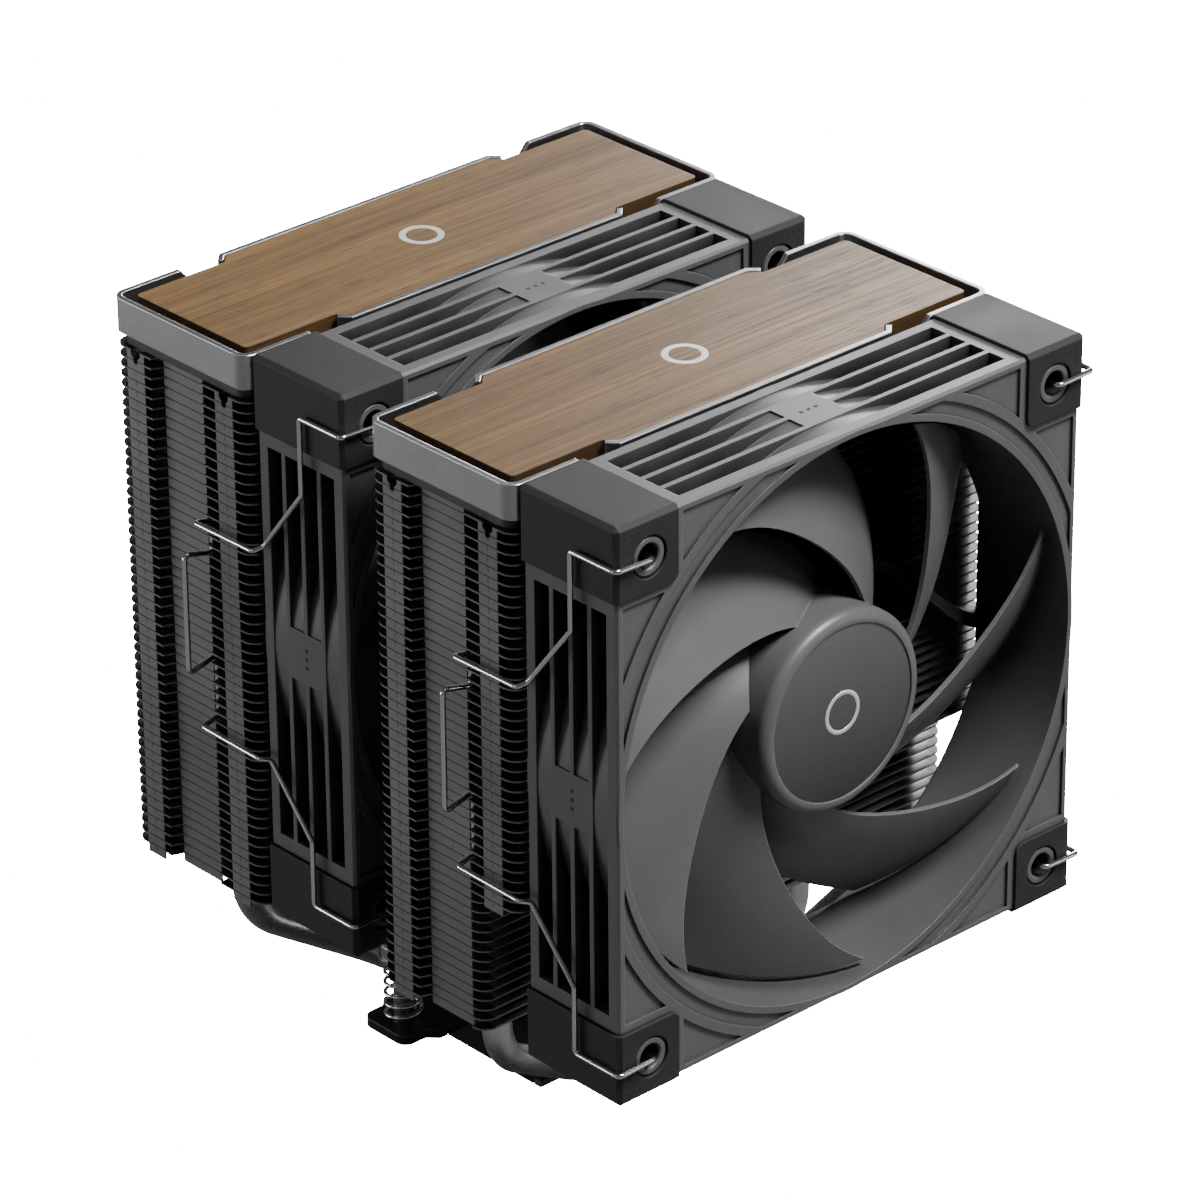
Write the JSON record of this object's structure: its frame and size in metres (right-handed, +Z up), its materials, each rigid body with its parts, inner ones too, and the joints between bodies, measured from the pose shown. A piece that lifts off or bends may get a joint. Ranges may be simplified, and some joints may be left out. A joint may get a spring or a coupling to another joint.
{
  "type": "processor tower cooler",
  "caption": "Twin-tower air cooler for a computer processor, with heat pipes, clipped-on fans, spring screws and wood-topped covers.",
  "frame": {"origin": "centre of the cold plate's underside, the face that rests on the processor", "axes": "+Z up from the processor through the towers, air blows along +Y, +X to the right seen from the front fan"},
  "size_m": [0.1342, 0.1436, 0.1628],
  "materials": {
    "nickel_plate": "fine lapped nickel plating",
    "nickel_pipe": "satin nickel plating over copper",
    "black_metal": "satin black nickel and paint",
    "steel": "bright machined steel",
    "spring_steel": "bright drawn wire",
    "clip_steel": "polished spring wire",
    "fin_black": "satin dark coating on thin aluminium",
    "dark_plastic": "moulded, fine texture",
    "satin_metal": "satin brushed, bright bevelled rim",
    "walnut": "open-grained walnut, oiled",
    "badge_metal": "satin inlay",
    "frame_plastic": "satin moulded",
    "pad_rubber": "fine matt moulded rubber",
    "rotor_plastic": "fine matt moulded",
    "cap_plastic": "glossy disc",
    "board": "green solder mask",
    "lamination": "stacked steel sheets",
    "copper": "enamelled copper windings",
    "bronze": "sintered bronze",
    "magnet": "bonded ferrite ring"
  },
  "bodies": {
    "cooler": {"cold_plate": "nickel_plate", "pipe_block": "black_metal", "block_cover": "black_metal", "mounting_bar": "black_metal", "bar_screws": "steel", "heat_pipe_1": "nickel_pipe", "heat_pipe_2": "nickel_pipe", "heat_pipe_3": "nickel_pipe", "heat_pipe_4": "nickel_pipe", "heat_pipe_5": "nickel_pipe", "heat_pipe_6": "nickel_pipe", "front_fin_stack": "fin_black", "front_cover_base": "dark_plastic", "front_cover_tray": "satin_metal", "front_wood_panel": "walnut", "front_panel_badge": "badge_metal", "front_fan_frame": "frame_plastic", "front_pad_top_left": "pad_rubber", "front_pad_top_right": "pad_rubber", "front_pad_bottom_left": "pad_rubber", "front_pad_bottom_right": "pad_rubber", "front_circuit_board": "board", "front_stator_core": "lamination", "front_stator_coils": "copper", "front_bearing_sleeve": "bronze", "rear_fin_stack": "fin_black", "rear_cover_base": "dark_plastic", "rear_cover_tray": "satin_metal", "rear_wood_panel": "walnut", "rear_panel_badge": "badge_metal", "rear_fan_frame": "frame_plastic", "rear_pad_top_left": "pad_rubber", "rear_pad_top_right": "pad_rubber", "rear_pad_bottom_left": "pad_rubber", "rear_pad_bottom_right": "pad_rubber", "rear_circuit_board": "board", "rear_stator_core": "lamination", "rear_stator_coils": "copper", "rear_bearing_sleeve": "bronze", "left_screw_spring": "spring_steel", "right_screw_spring": "spring_steel"},
    "front_rotor": {"front_impeller": "rotor_plastic", "front_hub_cap": "cap_plastic", "front_rotor_yoke": "steel", "front_magnet_ring": "magnet", "front_rotor_shaft": "steel"},
    "front_clip_left": {"front_clip_left": "clip_steel"},
    "front_clip_right": {"front_clip_right": "clip_steel"},
    "rear_rotor": {"rear_impeller": "rotor_plastic", "rear_hub_cap": "cap_plastic", "rear_rotor_yoke": "steel", "rear_magnet_ring": "magnet", "rear_rotor_shaft": "steel"},
    "rear_clip_left": {"rear_clip_left": "clip_steel"},
    "rear_clip_right": {"rear_clip_right": "clip_steel"},
    "left_screw_carrier": {"left_retaining_ring": "steel"},
    "left_screw": {"left_spring_screw": "steel"},
    "right_screw_carrier": {"right_retaining_ring": "steel"},
    "right_screw": {"right_spring_screw": "steel"}
  },
  "joints": [
    {"name": "front_fan_spin", "type": "hinge", "parent": "cooler", "child": "front_rotor", "pos_m": [0, -0.08325, 0.10205], "axis": [0, -1, 0], "continuous": true},
    {"name": "front_clip_left_swing", "type": "hinge", "parent": "cooler", "child": "front_clip_left", "pos_m": [-0.0525, -0.08245, 0.10205], "axis": [0, 0, 1], "range_deg": [0, 25]},
    {"name": "front_clip_right_swing", "type": "hinge", "parent": "cooler", "child": "front_clip_right", "pos_m": [0.0525, -0.08245, 0.10205], "axis": [0, 0, -1], "range_deg": [0, 25]},
    {"name": "rear_fan_spin", "type": "hinge", "parent": "cooler", "child": "rear_rotor", "pos_m": [0, -0.00775, 0.10205], "axis": [0, -1, 0], "continuous": true},
    {"name": "rear_clip_left_swing", "type": "hinge", "parent": "cooler", "child": "rear_clip_left", "pos_m": [-0.0525, -0.00695, 0.10205], "axis": [0, 0, 1], "range_deg": [0, 25]},
    {"name": "rear_clip_right_swing", "type": "hinge", "parent": "cooler", "child": "rear_clip_right", "pos_m": [0.0525, -0.00695, 0.10205], "axis": [0, 0, -1], "range_deg": [0, 25]},
    {"name": "left_screw_press", "type": "slide", "parent": "cooler", "child": "left_screw_carrier", "axis": [0, 0, -1], "range_m": [0, 0.003], "stiffness_N_per_m": 1200, "deforming": ["left_screw_spring"]},
    {"name": "left_screw_turn", "type": "hinge", "parent": "left_screw_carrier", "child": "left_screw", "pos_m": [-0.0415, 0, 0.0185], "axis": [0, 0, 1], "continuous": true},
    {"name": "right_screw_press", "type": "slide", "parent": "cooler", "child": "right_screw_carrier", "axis": [0, 0, -1], "range_m": [0, 0.003], "stiffness_N_per_m": 1200, "deforming": ["right_screw_spring"]},
    {"name": "right_screw_turn", "type": "hinge", "parent": "right_screw_carrier", "child": "right_screw", "pos_m": [0.0415, 0, 0.0185], "axis": [0, 0, 1], "continuous": true}
  ]
}
